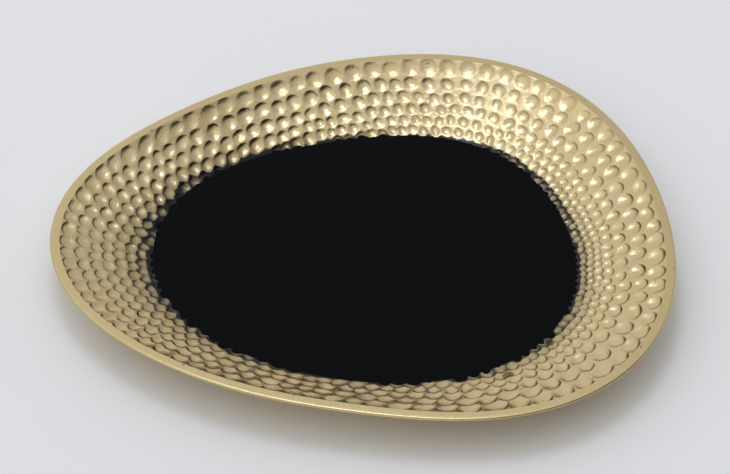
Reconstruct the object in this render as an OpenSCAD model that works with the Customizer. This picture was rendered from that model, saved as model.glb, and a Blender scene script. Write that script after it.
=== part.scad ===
// Egg-shaped serving dish: cast brass with a hammered flared wall, a narrow flat lip
// with a rounded edge, and a black enamel floor. It stands on four felt pads.
// Origin: centre of the outline, on the surface the pads stand on.
// +X points to the broad end, +Y to the back, +Z up.

/* [Size] */
// overall length, narrow end to broad end
tray_length = 380; // [280:1:480]
// overall width, front to back
tray_width = 318; // [230:1:400]
// height from the brass floor up to the crest of the wall
dish_depth = 23.2; // [15:0.1:40]

/* [Outline] */
// reach of the lip from the centre, every 30 degrees from the broad end
lip_reach = [189, 185, 175, 155, 150, 166, 190, 176, 155, 154, 180, 198];
// reach of the floor from the centre, at the same directions
floor_reach = [130, 125, 116, 102, 104, 119, 128, 119, 108, 108, 120, 132];

/* [Brass] */
// thickness of the floor, and of the wall measured straight down
plate_t = 2.6; // [2:0.1:5]
// how far the middle of the wall hangs below a straight slope, as a share of the depth
wall_bow = 0.03; // [0:0.01:0.1]
// width of the plain lip outside the crest
lip_w = 6; // [4:0.5:12]
// height that the lip falls from the crest to its edge
lip_drop = 0.1; // [0.1:0.1:8]
// thickness of the rounded edge of the lip
edge_t = 2.4; // [1.2:0.1:3]

/* [Hammer marks] */
// marks in one row around the dish
row_marks = 84; // [40:2:100]
// rows of marks between the floor and the crest
mark_rows = 7; // [4:1:9]
// share of a row's width that is added from the floor to the crest
row_growth = 0.35; // [0:0.05:0.6]
// depth of a mark beside the floor
inner_mark_depth = 0.6; // [0.2:0.1:1]
// depth of a mark beside the crest
outer_mark_depth = 1.2; // [0.2:0.1:1.6]

/* [Enamel and pads] */
// thickness of the enamel on the floor
enamel_t = 0.3; // [0.2:0.1:1]
// gap between the enamel and the foot of the wall
enamel_gap = 0.1; // [0.05:0.05:0.5]
// diameter of a felt pad
pad_d = 18; // [10:1:30]
// thickness of a felt pad
pad_t = 1.5; // [1:0.1:4]
// distance of a pad's centre from the centre of the dish, along the length
pad_x = 78; // [50:1:90]
// distance of a pad's centre from the centre of the dish, along the width
pad_y = 62; // [40:1:70]

/* [Hidden] */

brass = [0.80, 0.71, 0.50];
enamel_black = [0.03, 0.03, 0.04];
felt_dark = [0.16, 0.15, 0.14];

// columns of points around the dish: one on each mark and one between marks
cols = 2 * row_marks;
// rings of points up the wall: one through each row of marks and one between rows
wall_rings = 2 * mark_rows;
floor_top = pad_t + plate_t;
crest_z = floor_top + dish_depth;
edge_r = edge_t / 2;
// points round the half-round edge of the lip
edge_steps = 4;
// rings up the back of the wall
back_steps = 2;
pad_facets = 64;

// weight of one reach at an angle a away from it, on a smooth closed curve through n of them
function weight(a, n) =
  abs(sin(a / 2)) < 0.0001 ? 1 : sin(n * a / 2) * cos(a / 2) / (n * sin(a / 2));

function total(list, k = 0) = k == len(list) ? 0 : list[k] + total(list, k + 1);

function reach_at(reach, a) =
  let (n = len(reach)) total([for (k = [0 : n - 1]) reach[k] * weight(a - k * 360 / n, n)]);

function round_the_dish(reach) =
  [for (i = [0 : cols - 1]) let (a = i * 360 / cols) reach_at(reach, a) * [cos(a), sin(a)]];

function column(points, axis) = [for (p = points) p[axis]];
function span(list) = max(list) - min(list);
function middle(list) = (max(list) + min(list)) / 2;

// the lip's outline, stretched to the stated length and width and centred on the origin
drawn = round_the_dish(lip_reach);
stretch = [tray_length / span(column(drawn, 0)), tray_width / span(column(drawn, 1))];
centre = [middle(column(drawn, 0)), middle(column(drawn, 1))];
function placed(points) =
  [for (p = points) [(p[0] - centre[0]) * stretch[0], (p[1] - centre[1]) * stretch[1]]];
lip_line = placed(drawn);
floor_line = placed(round_the_dish(floor_reach));

// a point on the line from the floor's outline out to the lip's, measured in from the lip
function in_from_lip(i, inset) =
  let (run = floor_line[i] - lip_line[i]) lip_line[i] + run * inset / norm(run);

function crest(i) = in_from_lip(i, lip_w);

// share of the way up the wall at a ring, with rows that widen towards the crest
function share(ring) = let (s = ring / wall_rings) s * (1 - row_growth) + row_growth * s * s;

function rise(s) = dish_depth * s - 4 * wall_bow * dish_depth * s * (1 - s);

// marks are staggered from row to row
function is_mark(ring, i) =
  ring < wall_rings && ring % 2 == 1 && (i + (ring - 1) / 2) % 2 == 0;

function mark_depth(s) = inner_mark_depth + (outer_mark_depth - inner_mark_depth) * s;

function wall_point(i, s, lower) =
  let (p = floor_line[i] + (crest(i) - floor_line[i]) * s)
  [p[0], p[1], floor_top + rise(s) - lower];

function wall_ring(ring) =
  [for (i = [0 : cols - 1]) let (s = share(ring))
    wall_point(i, s, is_mark(ring, i) ? mark_depth(s) : 0)];

function back_ring(s) = [for (i = [0 : cols - 1]) wall_point(i, s, plate_t)];

// the lip at an inset from its outline
function lip_ring(inset, z) =
  [for (i = [0 : cols - 1]) let (p = in_from_lip(i, inset)) [p[0], p[1], z]];

function lip_z(s) = crest_z - lip_drop * pow(s, 1.4);

// the half-round edge, from its top to its bottom
function edge_ring(a) =
  lip_ring(edge_r * (1 - cos(a)), crest_z - lip_drop - edge_r + edge_r * sin(a));

body_rings = [
  for (ring = [0 : wall_rings]) wall_ring(ring),
  lip_ring(lip_w * 0.5, lip_z(0.5)),
  for (k = [0 : edge_steps]) edge_ring(90 - 180 * k / edge_steps),
  for (k = [back_steps : -1 : 0]) back_ring(k / back_steps),
];

// two triangles in each square between two rings; the cut starts at the mark's centre
function strip(ring) = [
  for (i = [0 : cols - 1])
    let (
      a = ring * cols + i,
      b = ring * cols + (i + 1) % cols,
      c = a + cols,
      d = b + cols
    )
    each is_mark(ring, i) || is_mark(ring + 1, i + 1)
      ? [[a, b, d], [a, d, c]]
      : [[a, b, c], [b, d, c]]
];

module ring_solid(rings) {
  last = len(rings) - 1;
  polyhedron(
    points = [for (ring = rings) each ring],
    faces = [
      [for (i = [0 : cols - 1]) cols - 1 - i],
      for (ring = [0 : last - 1]) each strip(ring),
      [for (i = [0 : cols - 1]) last * cols + i],
    ],
    convexity = 4
  );
}

module tray_body() {
  color(brass) ring_solid(body_rings);
}

module enamel_floor() {
  color(enamel_black)
    translate([0, 0, floor_top])
      linear_extrude(height = enamel_t)
        polygon([for (p = floor_line) p * (1 - enamel_gap / norm(p))]);
}

module felt_pad(side, end) {
  color(felt_dark)
    translate([end * pad_x, side * pad_y, 0])
      cylinder(h = pad_t, d = pad_d, $fn = pad_facets);
}

module felt_pad_front_left() { felt_pad(-1, -1); }
module felt_pad_front_right() { felt_pad(-1, 1); }
module felt_pad_back_left() { felt_pad(1, -1); }
module felt_pad_back_right() { felt_pad(1, 1); }

tray_body();
enamel_floor();
felt_pad_front_left();
felt_pad_front_right();
felt_pad_back_left();
felt_pad_back_right();
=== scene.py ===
"""Brass tray: an egg-shaped dish with a hammered wall, a narrow flat lip and a black enamel floor.

Every length in the tables below is in millimetres; the meshes are in metres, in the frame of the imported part.
"""

import math

import bpy
import numpy as np
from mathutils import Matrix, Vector


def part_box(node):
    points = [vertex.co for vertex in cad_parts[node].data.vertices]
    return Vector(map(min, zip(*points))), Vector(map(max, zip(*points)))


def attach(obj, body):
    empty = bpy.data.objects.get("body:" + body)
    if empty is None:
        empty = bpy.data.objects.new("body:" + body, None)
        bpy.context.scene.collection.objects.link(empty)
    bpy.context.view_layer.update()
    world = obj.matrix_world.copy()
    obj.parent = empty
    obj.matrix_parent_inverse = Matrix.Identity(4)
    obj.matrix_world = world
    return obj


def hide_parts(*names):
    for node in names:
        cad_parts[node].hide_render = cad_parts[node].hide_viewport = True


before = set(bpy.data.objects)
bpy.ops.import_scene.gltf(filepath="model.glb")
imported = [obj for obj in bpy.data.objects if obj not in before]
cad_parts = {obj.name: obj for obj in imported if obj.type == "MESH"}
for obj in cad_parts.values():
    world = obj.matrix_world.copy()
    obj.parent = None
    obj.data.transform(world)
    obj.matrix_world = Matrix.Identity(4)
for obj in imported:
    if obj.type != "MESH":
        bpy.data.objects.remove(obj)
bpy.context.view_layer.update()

MM = 0.001
rng = np.random.default_rng(11)

# ---------------------------------------------------------------- the tray's own sizes

# reach of the lip and of the floor from the centre, every 30 degrees from the broad end
LIP_REACH = (189, 185, 175, 155, 150, 166, 190, 176, 155, 154, 180, 198)
FLOOR_REACH = (130, 125, 116, 102, 104, 119, 128, 119, 108, 108, 120, 132)
LIP_WIDTH = 6.0
LIP_DROP = 0.1
EDGE_RADIUS = 1.2
PLATE = 2.6
WALL_BOW = 0.03

body_low, body_high = (np.array(corner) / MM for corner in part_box("tray_body"))
enamel_low, enamel_high = (np.array(corner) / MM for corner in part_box("enamel_floor"))
FLOOR_TOP = enamel_low[2]
ENAMEL_TOP = enamel_high[2]
CREST = body_high[2]
BASE = body_low[2]

# the hammer marks, in tables that go round the dish in steps of 45 degrees from the broad end:
# their spacing beside the crest and beside the floor
OUTER_SPACING = (12.3, 12.6, 13.0, 13.0, 10.8, 11.5, 14.0, 14.2)
INNER_SPACING = (5.2, 7.0, 6.4, 8.2, 6.8, 8.0, 8.0, 7.0)
# how far the sizes fall into a large and a small kind, rather than growing evenly up the wall
TWO_SIZES = (1.0, 0.4, 0.1, 0.0, 0.0, 0.0, 0.0, 0.4)
# share of the way up at which the small kind starts to give way, and the span it takes
SIZE_STEP_START = 0.2
SIZE_STEP_SPAN = 0.5
# their radius over half the spacing, their depth over their radius, and how lopsided they are
MARK_FILL = (0.90, 0.83, 0.88, 0.90, 0.95, 1.02, 1.04, 1.00)
MARK_DEPTH = (0.22, 0.20, 0.25, 0.25, 0.20, 0.18, 0.17, 0.22)
MARK_STEEP = (0.45, 0.25, 0.45, 0.50, 0.60, 0.60, 0.55, 0.50)
# share of the wall's width over which enamel stays in the hollows
FILM_REACH = (0.14, 0.09, 0.06, 0.18, 0.27, 0.25, 0.16, 0.15)
# how strongly the brass beside the enamel is darkened brown
FLOOR_SIDE_DARKENING = (0.50, 0.20, 0.45, 0.55, 0.45, 0.35, 0.20, 0.35)
# how dark the patina in the marks is, partly painted shade for the dark floor that their steep upper sides
# reflect, and how much of it goes all the way round a mark
PATINA_AND_SHADE = (0.90, 0.45, 0.65, 0.95, 1.00, 0.92, 0.82, 0.90)
ALL_ROUND = (0.05, 0.00, 0.00, 0.00, 0.25, 0.42, 0.52, 0.45)
# how shallow the marks become, and how much less patina and painted shade they carry, where they meet the crest
CREST_FADE = (0.20, 0.50, 0.80, 0.85, 0.00, 0.00, 0.00, 0.00)
# share of the way up at which that starts, and the span it takes
CREST_FADE_START = 0.78
CREST_FADE_SPAN = 0.2

# rows of marks at most, and the step between rows over the spacing
MARK_ROWS = 14
ROW_STEP = 0.87
# room that a mark's centre keeps to the floor and to the crest, over the mark's size
FLOOR_ROOM = 0.16
CREST_ROOM = 0.47
# share of its overlap with a neighbour that a crowded mark is moved by in one round
PUSH = 0.22
# how uneven the marks are: place along the wall in columns and up it in shares, then size, depth,
# turn in radians, length over width, and lean
UNEVEN_ALONG = 1.1
UNEVEN_UP = 0.012
UNEVEN_SIZE = 0.11
UNEVEN_DEPTH = 0.13
UNEVEN_TURN = 0.25
UNEVEN_LENGTH = 0.07
UNEVEN_LEAN = 0.17
# the ridges between marks: the power of the soft maximum and the softness of a mark's own rim in mm
RIDGE_POWER = 6.0
RIM_SOFTNESS = 0.05
# squared distance from a mark's centre, in radii, where a point counts as outside every mark
OUTSIDE = 1.6

# tarnish spots: degrees round the dish, share of the way up the wall, radius and strength
SPOTS = (
    (309, 0.22, 2.4, 4.0), (325, 0.10, 2.4, 2.4), (50, 0.10, 7.0, 0.4), (60, 0.06, 5.0, 0.35),
    (182, 0.54, 5.0, 0.35), (187, 0.38, 4.0, 0.30), (228, 1.02, 1.0, 0.9), (349, 1.08, 0.8, 0.9),
    (100, 0.80, 3.0, 0.25), (20, 0.60, 5.0, 0.25), (262, 0.55, 5.0, 0.25), (140, 0.35, 4.0, 0.30),
)

# the enamel's edge is hidden this share of the way across the wall, and its underside this deep in
# the brass
ENAMEL_TUCK = 0.10
ENAMEL_SUNK = 0.2

# how fine the grid round the dish, the grid up the wall and the pads are
COLUMNS = 1240
WALL_RINGS = 64
PAD_SIDES = 72


# ---------------------------------------------------------------- outline and wall

def closed_curve(values, angle):
    """Smooth closed curve through n equally spaced values: each one counts by
    sin(n d / 2) cos(d / 2) / (n sin(d / 2)), where d is how far round it is."""
    n = len(values)
    d = np.asarray(angle)[..., None] - 2 * np.pi * np.arange(n) / n
    s = np.sin(d / 2)
    at_value = np.abs(s) < 1e-9
    weight = np.where(at_value, 1.0, np.sin(n * d / 2) * np.cos(d / 2) / (n * np.where(at_value, 1.0, s)))
    return weight @ np.array(values, float)


def drawn(values, angle):
    """Points on the closed curve of these reaches, before it is stretched to size."""
    return closed_curve(values, angle)[..., None] * np.stack([np.cos(angle), np.sin(angle)], -1)


_round = np.linspace(0, 2 * np.pi, 7200, endpoint=False)
_lip = drawn(LIP_REACH, _round)
CENTRE = (_lip.max(0) + _lip.min(0)) / 2
STRETCH = (body_high - body_low)[:2] / (_lip.max(0) - _lip.min(0))


def placed(values, angle):
    """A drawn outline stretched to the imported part's length and width."""
    return (drawn(values, angle) - CENTRE) * STRETCH


def even_angles(count):
    """Angles whose points are evenly spaced along a line half way up the wall."""
    middle = (placed(LIP_REACH, _round) + placed(FLOOR_REACH, _round)) / 2
    step = np.linalg.norm(np.roll(middle, -1, 0) - middle, axis=1)
    along = np.concatenate([[0], np.cumsum(step)])
    return np.interp(np.arange(count) / count * along[-1], along, np.append(_round, 2 * np.pi))


ANGLE = even_angles(COLUMNS)
LIP_LINE = placed(LIP_REACH, ANGLE)
FLOOR_LINE = placed(FLOOR_REACH, ANGLE)
_run = FLOOR_LINE - LIP_LINE
INWARD = _run / np.linalg.norm(_run, axis=1)[:, None]
CREST_LINE = LIP_LINE + INWARD * LIP_WIDTH


def rise(share):
    """Height of the wall above its foot: nearly straight, hanging a little in the middle."""
    depth = CREST - FLOOR_TOP
    return depth * share - 4 * WALL_BOW * depth * share * (1 - share)


def on_wall(column, share):
    """Points of the plain wall at fractional columns and at shares of the way up."""
    low = np.floor(column).astype(int)
    part = (column - low)[..., None]
    a, b = low % COLUMNS, (low + 1) % COLUMNS
    foot = FLOOR_LINE[a] * (1 - part) + FLOOR_LINE[b] * part
    crest = CREST_LINE[a] * (1 - part) + CREST_LINE[b] * part
    plan = foot + (crest - foot) * share[..., None]
    return np.concatenate([plan, (FLOOR_TOP + rise(share))[..., None]], -1)


def wall_tangents(column, share):
    """Unit vectors along and up the wall, and the millimetres that one column and one share cover."""
    along = on_wall(column + 1, share) - on_wall(column - 1, share)
    up = on_wall(column, share + 0.01) - on_wall(column, share - 0.01)
    along_mm = np.linalg.norm(along, axis=-1)
    up_mm = np.linalg.norm(up, axis=-1)
    return along / along_mm[..., None], up / up_mm[..., None], along_mm / 2, up_mm / 0.02


# ---------------------------------------------------------------- hammer marks

def by_column(values, column):
    """A table of values round the dish, read at fractional columns."""
    angle = np.interp(column % COLUMNS, np.arange(COLUMNS + 1), np.append(ANGLE, 2 * np.pi))
    return closed_curve(values, angle)


def spacing(column, share):
    """Distance between marks: from the floor's spacing to the crest's, evenly up the wall or, where
    there are two sizes, in one smooth step."""
    inner = by_column(INNER_SPACING, column)
    outer = by_column(OUTER_SPACING, column)
    two = by_column(TWO_SIZES, column)
    even = np.clip(share, 0, 1)
    step = np.clip((share - SIZE_STEP_START) / SIZE_STEP_SPAN, 0, 1)
    return inner + (outer - inner) * (even * (1 - two) + step ** 2 * (3 - 2 * step) * two)


def first_marks():
    """Staggered rows of marks, from the crest down to the floor, each evenly spaced round the dish."""
    columns = np.arange(COLUMNS, dtype=float)
    _, _, _, up_mm = wall_tangents(columns, np.full(COLUMNS, 0.5))
    share = 1 - 0.50 * spacing(columns, np.ones(COLUMNS)) / up_mm
    marks = []
    for row in range(MARK_ROWS):
        gap = spacing(columns, share)
        _, _, along_mm, up_mm = wall_tangents(columns, np.clip(share, 0, 1))
        density = along_mm / gap
        count = int(round(density.sum()))
        reached = np.concatenate([[0], np.cumsum(density)]) * count / density.sum()
        wanted = np.arange(count) + 0.5 * (row % 2)
        column = np.interp(wanted, reached, np.arange(COLUMNS + 1))
        here = np.interp(column, columns, share)
        keep = here > 0.2 * np.interp(column, columns, gap / up_mm)
        marks.append(np.stack([column, here], 1)[keep])
        share = share - ROW_STEP * gap / up_mm
    return np.concatenate(marks)


def settle(marks, size, rounds=40):
    """Pushes marks that crowd each other apart, along the wall, until they lie side by side."""
    for _ in range(rounds):
        column, share = marks.T
        place = on_wall(column, share)
        along, up, along_mm, up_mm = wall_tangents(column, share)
        apart = place[:, None] - place[None]
        distance = np.linalg.norm(apart, axis=2)
        np.fill_diagonal(distance, 1e3)
        wanted = (size[:, None] + size[None]) / 2
        push = np.clip(wanted - distance, 0, None) * PUSH / distance
        move = (apart * push[..., None]).sum(1)
        column = (column + (move * along).sum(1) / along_mm) % COLUMNS
        share = share + (move * up).sum(1) / up_mm
        share = np.clip(share, FLOOR_ROOM * size / up_mm, 1 - CREST_ROOM * size / up_mm)
        marks = np.stack([column, share], 1)
    return marks


def hammer_marks():
    """Centres (column, share), radii and depths of all the marks."""
    marks = first_marks()
    marks[:, 0] += rng.normal(0, UNEVEN_ALONG, len(marks))
    marks[:, 1] += rng.normal(0, UNEVEN_UP, len(marks))
    size = spacing(*marks.T) * np.clip(rng.normal(1.0, UNEVEN_SIZE, len(marks)), 0.76, 1.25)
    marks = settle(marks, size)
    place = on_wall(*marks.T)
    distance = np.linalg.norm(place[:, None] - place[None], axis=2)
    nearest = np.sort(distance, axis=1)[:, 1:6].mean(1)
    radius = 0.5 * np.clip(nearest, 0.85 * size, 1.12 * size) * rng.uniform(0.90, 1.0, len(marks))
    radius *= by_column(MARK_FILL, marks[:, 0])
    uneven = np.clip(rng.normal(1.0, UNEVEN_DEPTH, len(marks)), 0.7, 1.3)
    depth = radius * by_column(MARK_DEPTH, marks[:, 0]) * uneven
    return marks, radius, depth


def hammered(share):
    """The plain wall, the depth below it at every grid point and, for the mark that is nearest, how
    far up the mark the point is and its squared distance from the mark's centre, in radii.

    One mark is h (1 - r^(2 q)) (1 + k x), with r the distance from its centre over its radius, x how
    far up it the point is and q growing from 1 to 2.2 with x: the upper side is a short steep step
    and the lower one runs out. Each also leans a little its own way. Marks that meet are joined with
    a soft maximum, which leaves a rounded ridge."""
    column = np.arange(COLUMNS, dtype=float)[:, None] + np.zeros(len(share))
    grid = on_wall(column, np.broadcast_to(share, column.shape))
    total = np.zeros(column.shape)
    lift = np.zeros(column.shape)
    away_there = np.full(column.shape, OUTSIDE)
    lopsided = by_column(MARK_STEEP, marks[:, 0])
    for (centre, height), radius, depth, steeper in zip(marks, radii, depths, lopsided):
        here = np.array([centre]), np.array([height])
        point = on_wall(*here)[0]
        along, up, along_mm, up_mm = (v[0] for v in wall_tangents(*here))
        turn = rng.normal(0, UNEVEN_TURN)
        longer = rng.normal(1.0, UNEVEN_LENGTH)
        lean, side_lean = rng.normal(0, UNEVEN_LEAN, 2)
        steep_way = up * math.cos(turn) + along * math.sin(turn)
        cross_way = along * math.cos(turn) - up * math.sin(turn)
        reach = int(math.ceil(1.5 * radius / along_mm * 1.3))
        cols = np.arange(int(centre) - reach, int(centre) + reach + 2) % COLUMNS
        low = np.searchsorted(share, height - 1.5 * radius / up_mm)
        high = np.searchsorted(share, height + 1.5 * radius / up_mm)
        patch = grid[cols, low:high] - point
        upward = patch @ steep_way / radius * longer
        sideways = patch @ cross_way / radius / longer
        away = upward ** 2 + sideways ** 2
        bound = np.clip(upward, -1.2, 1.2)
        tilt = 1 + (steeper + lean * (1 - bound ** 2)) * bound + side_lean * np.clip(sideways, -1, 1)
        cut = depth * (1 - away ** (1.0 + 1.2 * np.clip(bound, 0, 1))) * tilt
        cut = 0.5 * (cut + np.sqrt(cut ** 2 + RIM_SOFTNESS ** 2)) - 0.5 * RIM_SOFTNESS * np.exp(-away)
        cut = np.where(away < 1.9, np.clip(cut, 0, None), 0)
        total[cols, low:high] += cut ** RIDGE_POWER
        nearer = away < away_there[cols, low:high]
        lift[cols, low:high] = np.where(nearer, bound, lift[cols, low:high])
        away_there[cols, low:high] = np.where(nearer, away, away_there[cols, low:high])
    return grid, total ** (1 / RIDGE_POWER), lift, away_there


marks, radii, depths = hammer_marks()


# ---------------------------------------------------------------- meshes

def loop_faces(rings, columns, closed_rings=False):
    """Four-sided faces between neighbouring rings of a grid that closes round the dish."""
    ring = np.arange(rings if closed_rings else rings - 1)[:, None]
    column = np.arange(columns)[None]
    after = (column + 1) % columns
    up = (ring + 1) % rings
    return np.stack(
        [ring * columns + column, ring * columns + after, up * columns + after, up * columns + column], -1
    ).reshape(-1, 4)


def mesh_piece(name, points_mm, faces, smooth=True, attributes=()):
    """A mesh object at the origin from points in millimetres, faces and point attributes."""
    mesh = bpy.data.meshes.new(name)
    mesh.from_pydata((np.asarray(points_mm) * MM).tolist(), [], [list(map(int, f)) for f in faces])
    mesh.update()
    mesh.polygons.foreach_set("use_smooth", np.full(len(mesh.polygons), smooth))
    for label, values in attributes:
        layer = mesh.attributes.new(label, "FLOAT", "POINT")
        layer.data.foreach_set("value", np.asarray(values, np.float32).ravel())
    piece = bpy.data.objects.new(name, mesh)
    bpy.context.scene.collection.objects.link(piece)
    return piece


def tarnish(points):
    """Strength of the tarnish at points in millimetres: each spot fades out round its centre."""
    total = 0
    for degrees, share, radius, strength in SPOTS:
        column = np.array([np.interp(math.radians(degrees), ANGLE, np.arange(COLUMNS))])
        centre = on_wall(column, np.array([share]))[0]
        away = ((points - centre)[..., :2] ** 2).sum(-1) / radius ** 2
        total = total + strength * np.exp(-away)
    return total


def dish():
    """The one-piece brass dish: hammered wall, crest, lip, rounded edge, smooth back and base, as
    rings that run from the foot of the wall up, over the lip and down the back.

    Its attributes say how near a point is to the rim of a mark (rim, away), how much enamel (film),
    brown darkening beside the floor, patina with painted shade and tarnish (spots) there is, and which
    part of the dish it is (up: 0 to 1 on the wall, 1 to 2 on the lip, 3 on the back)."""
    share = np.linspace(0, 1, WALL_RINGS)
    grid, depth, lift, away = hammered(share)
    along = np.roll(grid, -1, 0) - np.roll(grid, 1, 0)
    normal = np.cross(np.gradient(grid, axis=1), along)
    normal /= np.linalg.norm(normal, axis=-1)[..., None]
    reach, dark, line, crest_easing, brown = (
        closed_curve(t, ANGLE)[:, None] for t in (FILM_REACH, PATINA_AND_SHADE, ALL_ROUND, CREST_FADE, FLOOR_SIDE_DARKENING))
    crest_easing = crest_easing * np.clip((share - CREST_FADE_START) / CREST_FADE_SPAN, 0, 1)
    fade = np.clip((1 - share) / 0.02, 0, 1) * (1 - 0.5 * crest_easing)
    wall = grid - normal * (depth * fade)[..., None]
    film = 1.05 - share / reach + 0.60 * lift + 0.30 * (away - 0.6)
    # the brass darkened brown beside the enamel, more strongly where the enamel film is near
    floor_side_darkening = brown * np.clip((film + 0.9) / 1.2, 0, 1)
    line = np.clip(line + 0.2 * np.clip(1 - share / 0.35, 0, 1), 0, 1)
    rim = away * (lift * (1 - line) + line)
    # patina, partly painted shade for the dark floor reflected in the steep upper sides of the marks
    patina_and_shade = dark * (1 - crest_easing)
    rings = [wall[:, k] for k in range(WALL_RINGS)]
    spots = tarnish(grid)
    values = {
        "spots": spots, "rim": rim, "away": away, "film": film, "floor_side_darkening": floor_side_darkening, "patina_and_shade": patina_and_shade,
        "up": share * np.ones((COLUMNS, 1)),
    }
    layers = {label: [grown[:, k] for k in range(WALL_RINGS)] for label, grown in values.items()}

    def add(line, z, where):
        """One more ring without marks, along a line at height z; where is its value of up."""
        rings.append(np.column_stack([line, np.broadcast_to(z, COLUMNS)]))
        layers["spots"].append(tarnish(rings[-1]))
        unmarked = {"rim": 0.0, "away": OUTSIDE, "film": -1.0, "floor_side_darkening": 0.0, "patina_and_shade": 0.0, "up": where}
        for label, plain in unmarked.items():
            layers[label].append(np.full(COLUMNS, plain))

    # the lip, its rounded edge, the back of the wall from the crest down, and the base
    for s in (0.1, 0.4, 0.7, 1.0):
        inset = LIP_WIDTH - (LIP_WIDTH - EDGE_RADIUS) * s
        add(LIP_LINE + INWARD * inset, CREST - LIP_DROP * s ** 1.4, 1 + s)
    edge_middle = CREST - LIP_DROP - EDGE_RADIUS
    for a in np.radians((80, 60, 30, 0, -45, -90)):
        add(LIP_LINE + INWARD * EDGE_RADIUS * (1 - np.cos(a)), edge_middle + EDGE_RADIUS * np.sin(a), 2)
    for s in (1.0, 0.66, 0.33, 0.0):
        add(FLOOR_LINE + (CREST_LINE - FLOOR_LINE) * s, FLOOR_TOP + rise(s) - PLATE, 3.0)
    add(FLOOR_LINE * 0.97, BASE, 3.0)

    # the rings run up the wall, so their faces are turned round to face outwards
    faces = loop_faces(len(rings), COLUMNS)[:, ::-1].tolist()
    last = (len(rings) - 1) * COLUMNS
    faces.append([last + i for i in range(COLUMNS - 1, -1, -1)])
    faces.append(list(range(COLUMNS)))
    piece = mesh_piece("hammered_dish", np.concatenate(rings), faces, attributes=layers.items())

    # the crest is a crisp line between the wall and the lip
    ends = np.zeros(2 * len(piece.data.edges), int)
    piece.data.edges.foreach_get("vertices", ends)
    crest = (ends // COLUMNS == WALL_RINGS - 1).reshape(-1, 2).all(1)
    piece.data.edges.foreach_set("use_edge_sharp", crest)
    return piece


def enamel():
    """The enamel floor: a slab whose edge is buried in the foot of the wall, so that what shows of
    its outline is where its level top meets the hammer marks."""
    line = FLOOR_LINE + (CREST_LINE - FLOOR_LINE) * ENAMEL_TUCK
    inner = [line + INWARD * 0.5] + [line * k for k in (0.9, 0.6, 0.3)]
    rings = [np.column_stack([r, np.full(COLUMNS, ENAMEL_TOP)]) for r in [line] + inner]
    rings += [np.column_stack([r, np.full(COLUMNS, FLOOR_TOP - ENAMEL_SUNK)]) for r in inner[::-1] + [line]]
    points = np.concatenate(rings)
    faces = loop_faces(len(rings), COLUMNS, closed_rings=True)

    # the two innermost rings are closed with one face each, not joined to each other
    strip = len(inner)
    keep = np.arange(len(faces)) // COLUMNS != strip
    faces = faces[keep].tolist()
    faces.append([strip * COLUMNS + i for i in range(COLUMNS)])
    faces.append([(strip + 1) * COLUMNS + i for i in range(COLUMNS - 1, -1, -1)])
    return mesh_piece("enamel_sheet", points, faces)


def felt_pad(node):
    """A felt disc: a profile with softened rims turned about the pad's middle."""
    low, high = (np.array(c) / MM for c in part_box(node))
    middle = (low + high)[:2] / 2
    radius = (high - low)[0] / 2

    # reach over the radius and height over the thickness, from the underside up
    profile = np.array([(0.6, 0), (0.94, 0), (0.985, 0.12), (1, 0.45), (1, 0.8), (0.99, 1), (0.6, 1)])
    turn = np.linspace(0, 2 * np.pi, PAD_SIDES, endpoint=False)
    reach = profile[:, 0, None] * radius * np.ones(PAD_SIDES)
    x = middle[0] + reach * np.cos(turn)
    y = middle[1] + reach * np.sin(turn)
    z = np.broadcast_to((low[2] + (high[2] - low[2]) * profile[:, 1])[:, None], reach.shape)
    points = np.stack([x, y, z], -1).reshape(-1, 3)
    faces = loop_faces(len(reach), PAD_SIDES).tolist()
    faces.append(list(range(PAD_SIDES - 1, -1, -1)))
    last = (len(reach) - 1) * PAD_SIDES
    faces.append([last + i for i in range(PAD_SIDES)])
    return mesh_piece(node + "_disc", points, faces)


# ---------------------------------------------------------------- materials

def new_material(name):
    """A new material, its node tree and its shader."""
    material = bpy.data.materials.new(name)
    material.use_nodes = True
    tree = material.node_tree
    return material, tree, tree.nodes["Principled BSDF"]


def node(tree, kind, settings=(), **inputs):
    """A shader node with its settings and inputs. An input goes by its label, or by its number as in
    i0, and is a socket to link or a value."""
    made = tree.nodes.new(kind)
    for key, value in dict(settings).items():
        setattr(made, key, value)
    for key, value in inputs.items():
        numbered = key[0] == "i" and key[1:].isdigit()
        socket = made.inputs[int(key[1:]) if numbered else key]
        if isinstance(value, bpy.types.NodeSocket):
            tree.links.new(value, socket)
        else:
            socket.default_value = value
    return made


def math_node(tree, operation, a, b):
    """The result of one sum, product, power or larger of two."""
    return node(tree, "ShaderNodeMath", {"operation": operation}, i0=a, i1=b).outputs[0]


def scaled(tree, value, factor, shift):
    """value * factor + shift."""
    settings = {"operation": "MULTIPLY_ADD"}
    return node(tree, "ShaderNodeMath", settings, i0=value, i1=factor, i2=shift).outputs[0]


def straight_range(tree, value, low, high, bottom=0.0, top=1.0):
    """bottom below low, top above high and a straight line between them."""
    return node(tree, "ShaderNodeMapRange", Value=value, i1=low, i2=high, i3=bottom, i4=top).outputs[0]


def smooth_range(tree, value, low, high, top=1.0):
    """0 below low, top above high and a smooth step between them."""
    return node(tree, "ShaderNodeMapRange", {"interpolation_type": "SMOOTHSTEP"}, Value=value,
                i1=low, i2=high, i3=0.0, i4=top).outputs[0]


def noise(tree, place, scale, detail):
    """Cloudy noise about 0.5."""
    return node(tree, "ShaderNodeTexNoise", Vector=place, Scale=scale, Detail=detail).outputs["Fac"]


def mixed(tree, mask, colour, other):
    """The colour where the mask is 0 and the other where it is 1."""
    return node(tree, "ShaderNodeMix", {"data_type": "RGBA"}, i0=mask, i6=colour, i7=other).outputs[2]


def blended(tree, mask, value, other):
    """The value where the mask is 0 and the other where it is 1."""
    return node(tree, "ShaderNodeMix", {"data_type": "FLOAT"}, i0=mask, i2=value, i3=other).outputs[0]


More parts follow.
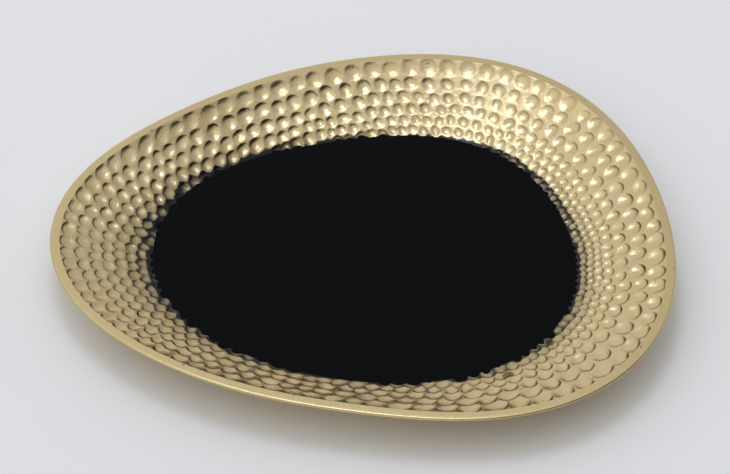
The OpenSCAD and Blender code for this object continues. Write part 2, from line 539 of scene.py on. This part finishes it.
def brass():
    """Satin brass, with patina and painted shade in the marks, the brass darkened brown beside the floor, and
    enamel left in the marks there.
    """
    material, tree, shader = new_material("satin_brass")
    place = node(tree, "ShaderNodeTexCoord").outputs["Object"]
    rim, away, cover, floor_side_darkening, patina_and_shade, spots, up = (
        node(tree, "ShaderNodeAttribute", {"attribute_name": label}).outputs["Fac"]
        for label in ("rim", "away", "film", "floor_side_darkening", "patina_and_shade", "spots", "up"))
    cloud = noise(tree, place, 22.0, 4.0)
    fleck = noise(tree, place, 420.0, 3.0)
    grain = noise(tree, place, 2600.0, 2.0)
    ragged = scaled(tree, fleck, 0.5, -0.25)
    on_lip = straight_range(tree, up, 0.995, 1.03)
    tone = mixed(tree, cloud, (0.63, 0.495, 0.26, 1), (0.71, 0.58, 0.335, 1))

    # the lip and the back are a little deeper gold than the wall
    golden = math_node(tree, "MULTIPLY", on_lip, 0.5)
    tone = mixed(tree, golden, tone, (0.68, 0.545, 0.265, 1))

    # fine sandy grain, brown specks and tarnish spots
    sandy = straight_range(tree, grain, 0.3, 0.7, top=0.16)
    tone = mixed(tree, sandy, tone, (0.42, 0.30, 0.13, 1))
    speck = smooth_range(tree, noise(tree, place, 260.0, 1.0), 0.74, 0.80, 0.55)
    flecked = math_node(tree, "MULTIPLY", spots, math_node(tree, "ADD", fleck, 0.5))
    stain = smooth_range(tree, flecked, 0.1, 0.9, 0.92)
    tone = mixed(tree, math_node(tree, "MAXIMUM", speck, stain), tone, (0.23, 0.12, 0.035, 1))

    # dark patina along the steep upper side of each mark, partly painted shade: the dark crescent where that
    # side reflects the black floor
    upper_side = smooth_range(tree, math_node(tree, "ADD", rim, ragged), 0.32, 0.88)
    inside = smooth_range(tree, away, 1.25, 1.0)
    dark = math_node(tree, "MULTIPLY", math_node(tree, "MULTIPLY", upper_side, inside), patina_and_shade)
    tone = mixed(tree, dark, tone, (0.060, 0.035, 0.013, 1))

    # the brass beside the floor darkened brown, then enamel that stayed in the marks there
    tone = mixed(tree, floor_side_darkening, tone, (0.10, 0.075, 0.035, 1))
    film = smooth_range(tree, math_node(tree, "ADD", cover, ragged), 0.20, 0.85)
    colour = mixed(tree, film, tone, (0.006, 0.006, 0.007, 1))
    tree.links.new(colour, shader.inputs["Base Color"])
    tree.links.new(math_node(tree, "SUBTRACT", 1.0, film), shader.inputs["Metallic"])
    shader.inputs["Specular IOR Level"].default_value = 0.3

    # the lip and the back are a little smoother than the wall, and only the wall is crinkled
    wall_rough = straight_range(tree, cloud, 0.3, 0.7, 0.21, 0.30)
    lip_rough = straight_range(tree, fleck, 0.3, 0.7, 0.13, 0.20)
    rough = blended(tree, film, blended(tree, on_lip, wall_rough, lip_rough), 0.13)
    tree.links.new(rough, shader.inputs["Roughness"])
    on_wall_only = math_node(tree, "SUBTRACT", 1.0, on_lip)
    crinkle = math_node(tree, "MULTIPLY", noise(tree, place, 380.0, 3.0), on_wall_only)
    uneven = node(tree, "ShaderNodeBump", Height=crinkle, Strength=0.40, Distance=0.0006).outputs[0]
    bump = node(tree, "ShaderNodeBump", Height=grain, Strength=0.20, Distance=0.0002, Normal=uneven)
    tree.links.new(bump.outputs[0], shader.inputs["Normal"])
    return material


def black_enamel():
    """Deep black enamel with a soft, slightly cloudy shine."""
    material, tree, shader = new_material("black_enamel")
    place = node(tree, "ShaderNodeTexCoord").outputs["Object"]
    shader.inputs["Base Color"].default_value = (0.0022, 0.0025, 0.0030, 1)
    shader.inputs["Specular IOR Level"].default_value = 0.04
    rough = straight_range(tree, noise(tree, place, 30.0, 3.0), 0.3, 0.7, 0.16, 0.24)
    tree.links.new(rough, shader.inputs["Roughness"])
    return material


def felt():
    """Dark felt with fine fibres."""
    material, tree, shader = new_material("dark_felt")
    place = node(tree, "ShaderNodeTexCoord").outputs["Object"]
    fibre = noise(tree, place, 3000.0, 3.0)
    tone = mixed(tree, fibre, (0.012, 0.011, 0.010, 1), (0.05, 0.046, 0.042, 1))
    tree.links.new(tone, shader.inputs["Base Color"])
    shader.inputs["Roughness"].default_value = 0.95
    bump = node(tree, "ShaderNodeBump", Height=fibre, Strength=0.6, Distance=0.0004)
    tree.links.new(bump.outputs[0], shader.inputs["Normal"])
    return material


def white_paper():
    """Plain matt white."""
    material, _, shader = new_material("white_ground")
    shader.inputs["Base Color"].default_value = (0.96, 0.95, 0.93, 1)
    shader.inputs["Roughness"].default_value = 0.9
    return material


# ---------------------------------------------------------------- the tray

tray = dish()
tray.data.materials.append(brass())
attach(tray, "root")
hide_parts("tray_body")

floor_sheet = enamel()
floor_sheet.data.materials.append(black_enamel())
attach(floor_sheet, "root")
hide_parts("enamel_floor")

felt_material = felt()
for name in ("felt_pad_front_left", "felt_pad_front_right", "felt_pad_back_left", "felt_pad_back_right"):
    pad = felt_pad(name)
    pad.data.materials.append(felt_material)
    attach(pad, "root")
    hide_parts(name)

# ---------------------------------------------------------------- ground, light, camera

GROUND_REACH = 9000
ground_corners = [(x * GROUND_REACH, y * GROUND_REACH, 0) for x, y in ((-1, -1), (1, -1), (1, 1), (-1, 1))]
ground = mesh_piece("ground", ground_corners, [(0, 1, 2, 3)], smooth=False)
ground.data.materials.append(white_paper())

# ways from the tray to the soft light, the bright side of the sky, the glow behind and the shade
TO_LIGHT = (-0.08, 0.30, 0.95)
TO_GLOW = (-0.45, 0.10, 0.88)
TO_BACK = (-0.15, 0.97, 0.17)
TO_SHADE = (0.80, -0.56, -0.10)

# the light's distance and width are in metres and its power in watts
LIGHT_DISTANCE = 3.4
LIGHT_WIDTH = 1.05
LIGHT_POWER = 13.0
LIGHT_COLOUR = (0.86, 0.97, 1.25)
SKY_COLOUR = (0.97, 0.98, 1.0, 1)

# the camera looks at the middle of the enamel from this far away, in metres, and this far up
CAMERA_DISTANCE = 2.0
CAMERA_ELEVATION = math.radians(45)
CAMERA_LENS = 160.2
CAMERA_SHIFT = (0.0042, 0.0211)


light = bpy.data.lights.new("main_soft", "AREA")
light.shape = "SQUARE"
light.size = LIGHT_WIDTH
light.energy = LIGHT_POWER
light.color = LIGHT_COLOUR
lamp = bpy.data.objects.new("main_soft", light)
light_way = Vector(TO_LIGHT).normalized()
lamp.location = light_way * LIGHT_DISTANCE
lamp.rotation_euler = light_way.to_track_quat("Z", "Y").to_euler()
bpy.context.scene.collection.objects.link(lamp)

world = bpy.data.worlds.new("studio")
bpy.context.scene.world = world
world.use_nodes = True
sky_tree = world.node_tree
sky = sky_tree.nodes["Background"]
direction = node(sky_tree, "ShaderNodeTexCoord").outputs["Generated"]


def facing(way):
    """Cosine of the angle between the looked-up direction and a fixed one."""
    aim = Vector(way).normalized()
    return node(sky_tree, "ShaderNodeVectorMath", {"operation": "DOT_PRODUCT"},
                i0=direction, i1=tuple(aim)).outputs["Value"]


spread = straight_range(sky_tree, facing(TO_GLOW), 0.25, 1.0)
glow = scaled(sky_tree, math_node(sky_tree, "POWER", spread, 1.6), 0.42, 0.565)
behind = smooth_range(sky_tree, facing(TO_BACK), 0.82, 1.0, 0.24)
shade = smooth_range(sky_tree, facing(TO_SHADE), 0.35, 0.85, 0.85)
bright = math_node(sky_tree, "ADD", glow, behind)
level = math_node(sky_tree, "MULTIPLY", bright, math_node(sky_tree, "SUBTRACT", 1.0, shade))
sky_tree.links.new(level, sky.inputs["Strength"])
sky.inputs["Color"].default_value = SKY_COLOUR

camera_data = bpy.data.cameras.new("camera")
camera_data.sensor_width = 36
camera_data.lens = CAMERA_LENS
camera_data.shift_x, camera_data.shift_y = CAMERA_SHIFT
camera = bpy.data.objects.new("camera", camera_data)
target = Vector((0, 0, ENAMEL_TOP * MM))
back = Vector((0, -math.cos(CAMERA_ELEVATION), math.sin(CAMERA_ELEVATION)))
camera.location = target + back * CAMERA_DISTANCE
camera.rotation_euler = back.to_track_quat("Z", "Y").to_euler()
bpy.context.scene.collection.objects.link(camera)
bpy.context.scene.camera = camera
bpy.context.scene.view_settings.view_transform = "Standard"
